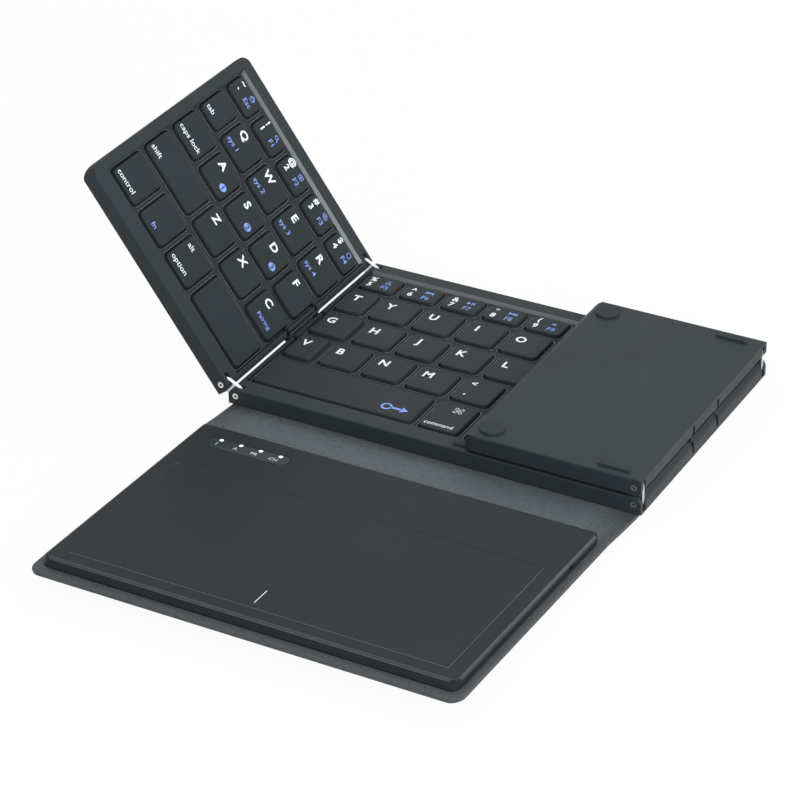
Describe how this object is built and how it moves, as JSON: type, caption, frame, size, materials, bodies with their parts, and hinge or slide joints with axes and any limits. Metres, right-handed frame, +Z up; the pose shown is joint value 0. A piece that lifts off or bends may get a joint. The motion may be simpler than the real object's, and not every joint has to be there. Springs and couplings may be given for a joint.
{
  "type": "folding keyboard",
  "caption": "Pocket keyboard that folds three ways on double-pivot link hinges, with a leather-like cover whose front flap carries a touchpad; each key row presses.",
  "frame": {"origin": "centre of the underside of the cover below the middle panel, on the surface it rests on", "axes": "+X to the right wing's hinge, +Y to the back, away from the touchpad flap, +Z up; rest pose: left wing raised 55 degrees, right wing folded over, flap laid out and raised slightly"},
  "size_m": [0.2047, 0.2187, 0.0786],
  "materials": {
    "cover": "fine grained, dark grey",
    "casing": "dark grey, finely blasted and anodised",
    "deck": "dark grey",
    "keys": "dark grey, smooth matt",
    "domes": "pale silicone",
    "boards": "green circuit board",
    "steel": "bright",
    "bridge": "near black",
    "flex": "amber film",
    "feet": "matt dark rubber",
    "housing": "dark grey, satin",
    "touchpad": "dark grey, smooth satin",
    "battery": "foil",
    "window": "glossy, dark",
    "lights": "clear"
  },
  "bodies": {
    "base": {"cover_base": "cover", "mid_case": "casing", "mid_deck": "deck", "mid_domes": "domes", "mid_board": "boards", "mid_pins": "steel", "mid_rest_pad": "feet"},
    "left_link": {"left_links": "steel", "left_bridge": "bridge", "left_bridge_cap": "bridge", "left_flex": "flex"},
    "left_wing": {"left_case": "casing", "left_deck": "deck", "left_domes": "domes", "left_board": "boards", "left_pins": "steel", "left_feet": "feet"},
    "right_link": {"right_links": "steel", "right_bridge": "bridge", "right_bridge_cap": "bridge", "right_flex": "flex"},
    "right_wing": {"right_case": "casing", "right_deck": "deck", "right_domes": "domes", "right_board": "boards", "right_pins": "steel", "right_feet": "feet"},
    "spine": {"cover_spine": "cover"},
    "flap": {"cover_flap": "cover", "flap_housing": "housing", "flap_floor": "housing", "touchpad": "touchpad", "touch_sensor": "boards", "main_board": "boards", "battery": "battery", "led_window": "window", "status_lights": "lights", "usb_port": "steel"},
    "switch": {"power_switch": "bridge"},
    "mid_row_1_keys": {"mid_row_1": "keys"},
    "mid_row_2_keys": {"mid_row_2": "keys"},
    "mid_row_3_keys": {"mid_row_3": "keys"},
    "mid_row_4_keys": {"mid_row_4": "keys"},
    "mid_row_5_keys": {"mid_row_5": "keys"},
    "mid_space_bar_key": {"mid_space_bar": "keys"},
    "left_row_1_keys": {"left_row_1": "keys"},
    "left_row_2_keys": {"left_row_2": "keys"},
    "left_row_3_keys": {"left_row_3": "keys"},
    "left_row_4_keys": {"left_row_4": "keys"},
    "left_row_5_keys": {"left_row_5": "keys"},
    "left_space_bar_key": {"left_space_bar": "keys"},
    "right_row_1_keys": {"right_row_1": "keys"},
    "right_row_2_keys": {"right_row_2": "keys"},
    "right_row_3_keys": {"right_row_3": "keys"},
    "right_row_4_keys": {"right_row_4": "keys"},
    "right_row_5_keys": {"right_row_5": "keys"}
  },
  "joints": [
    {"name": "left_link_hinge", "type": "hinge", "parent": "base", "child": "left_link", "pos_m": [-0.0733, 0, 0.0047], "axis": [0, 1, 0], "range_deg": [-27.7, 62.5]},
    {"name": "left_wing_hinge", "type": "hinge", "parent": "left_link", "child": "left_wing", "pos_m": [-0.07889, 0, 0.00761], "axis": [0, 1, 0], "range_deg": [-27.7, 62.5]},
    {"name": "right_link_hinge", "type": "hinge", "parent": "base", "child": "right_link", "pos_m": [0.0733, 0, 0.0047], "axis": [0, -1, 0], "range_deg": [-90.2, 0]},
    {"name": "right_wing_hinge", "type": "hinge", "parent": "right_link", "child": "right_wing", "pos_m": [0.0733, 0, 0.011], "axis": [0, -1, 0], "range_deg": [-90.2, 0]},
    {"name": "spine_fold", "type": "hinge", "parent": "base", "child": "spine", "pos_m": [0, -0.0503, 0.0007], "axis": [-1, 0, 0], "range_deg": [-2.6, 84.4]},
    {"name": "flap_fold", "type": "hinge", "parent": "spine", "child": "flap", "pos_m": [0, -0.06956, 0.00259], "axis": [-1, 0, 0], "range_deg": [0, 93.6]},
    {"name": "switch_slide", "type": "slide", "parent": "flap", "child": "switch", "axis": [0, -0.9994, 0.0349], "range_m": [0, 0.0018]},
    {"name": "mid_row_1_press", "type": "slide", "parent": "base", "child": "mid_row_1_keys", "axis": [0, 0, -1], "range_m": [0, 0.0012], "stiffness_N_per_m": 4500},
    {"name": "mid_row_2_press", "type": "slide", "parent": "base", "child": "mid_row_2_keys", "axis": [0, 0, -1], "range_m": [0, 0.0012], "stiffness_N_per_m": 4500},
    {"name": "mid_row_3_press", "type": "slide", "parent": "base", "child": "mid_row_3_keys", "axis": [0, 0, -1], "range_m": [0, 0.0012], "stiffness_N_per_m": 4000},
    {"name": "mid_row_4_press", "type": "slide", "parent": "base", "child": "mid_row_4_keys", "axis": [0, 0, -1], "range_m": [0, 0.0012], "stiffness_N_per_m": 4000},
    {"name": "mid_row_5_press", "type": "slide", "parent": "base", "child": "mid_row_5_keys", "axis": [0, 0, -1], "range_m": [0, 0.0012], "stiffness_N_per_m": 3000},
    {"name": "mid_space_bar_press", "type": "slide", "parent": "base", "child": "mid_space_bar_key", "axis": [0, 0, -1], "range_m": [0, 0.0012], "stiffness_N_per_m": 600},
    {"name": "left_row_1_press", "type": "slide", "parent": "left_wing", "child": "left_row_1_keys", "axis": [-0.8192, 0, -0.5736], "range_m": [0, 0.0012], "stiffness_N_per_m": 2500},
    {"name": "left_row_2_press", "type": "slide", "parent": "left_wing", "child": "left_row_2_keys", "axis": [-0.8192, 0, -0.5736], "range_m": [0, 0.0012], "stiffness_N_per_m": 2500},
    {"name": "left_row_3_press", "type": "slide", "parent": "left_wing", "child": "left_row_3_keys", "axis": [-0.8192, 0, -0.5736], "range_m": [0, 0.0012], "stiffness_N_per_m": 2500},
    {"name": "left_row_4_press", "type": "slide", "parent": "left_wing", "child": "left_row_4_keys", "axis": [-0.8192, 0, -0.5736], "range_m": [0, 0.0012], "stiffness_N_per_m": 2000},
    {"name": "left_row_5_press", "type": "slide", "parent": "left_wing", "child": "left_row_5_keys", "axis": [-0.8192, 0, -0.5736], "range_m": [0, 0.0012], "stiffness_N_per_m": 1500},
    {"name": "left_space_bar_press", "type": "slide", "parent": "left_wing", "child": "left_space_bar_key", "axis": [-0.8192, 0, -0.5736], "range_m": [0, 0.0012], "stiffness_N_per_m": 600},
    {"name": "right_row_1_press", "type": "slide", "parent": "right_wing", "child": "right_row_1_keys", "axis": [0, 0, 1], "range_m": [0, 0.0012], "stiffness_N_per_m": 2000},
    {"name": "right_row_2_press", "type": "slide", "parent": "right_wing", "child": "right_row_2_keys", "axis": [0, 0, 1], "range_m": [0, 0.0012], "stiffness_N_per_m": 2000},
    {"name": "right_row_3_press", "type": "slide", "parent": "right_wing", "child": "right_row_3_keys", "axis": [0, 0, 1], "range_m": [0, 0.0012], "stiffness_N_per_m": 2000},
    {"name": "right_row_4_press", "type": "slide", "parent": "right_wing", "child": "right_row_4_keys", "axis": [0, 0, 1], "range_m": [0, 0.0012], "stiffness_N_per_m": 2000},
    {"name": "right_row_5_press", "type": "slide", "parent": "right_wing", "child": "right_row_5_keys", "axis": [0, 0, 1], "range_m": [0, 0.0012], "stiffness_N_per_m": 2000}
  ],
  "couplings": [
    {"joint": "left_wing_hinge", "follows": "left_link_hinge", "ratio": 1},
    {"joint": "right_wing_hinge", "follows": "right_link_hinge", "ratio": 1}
  ]
}
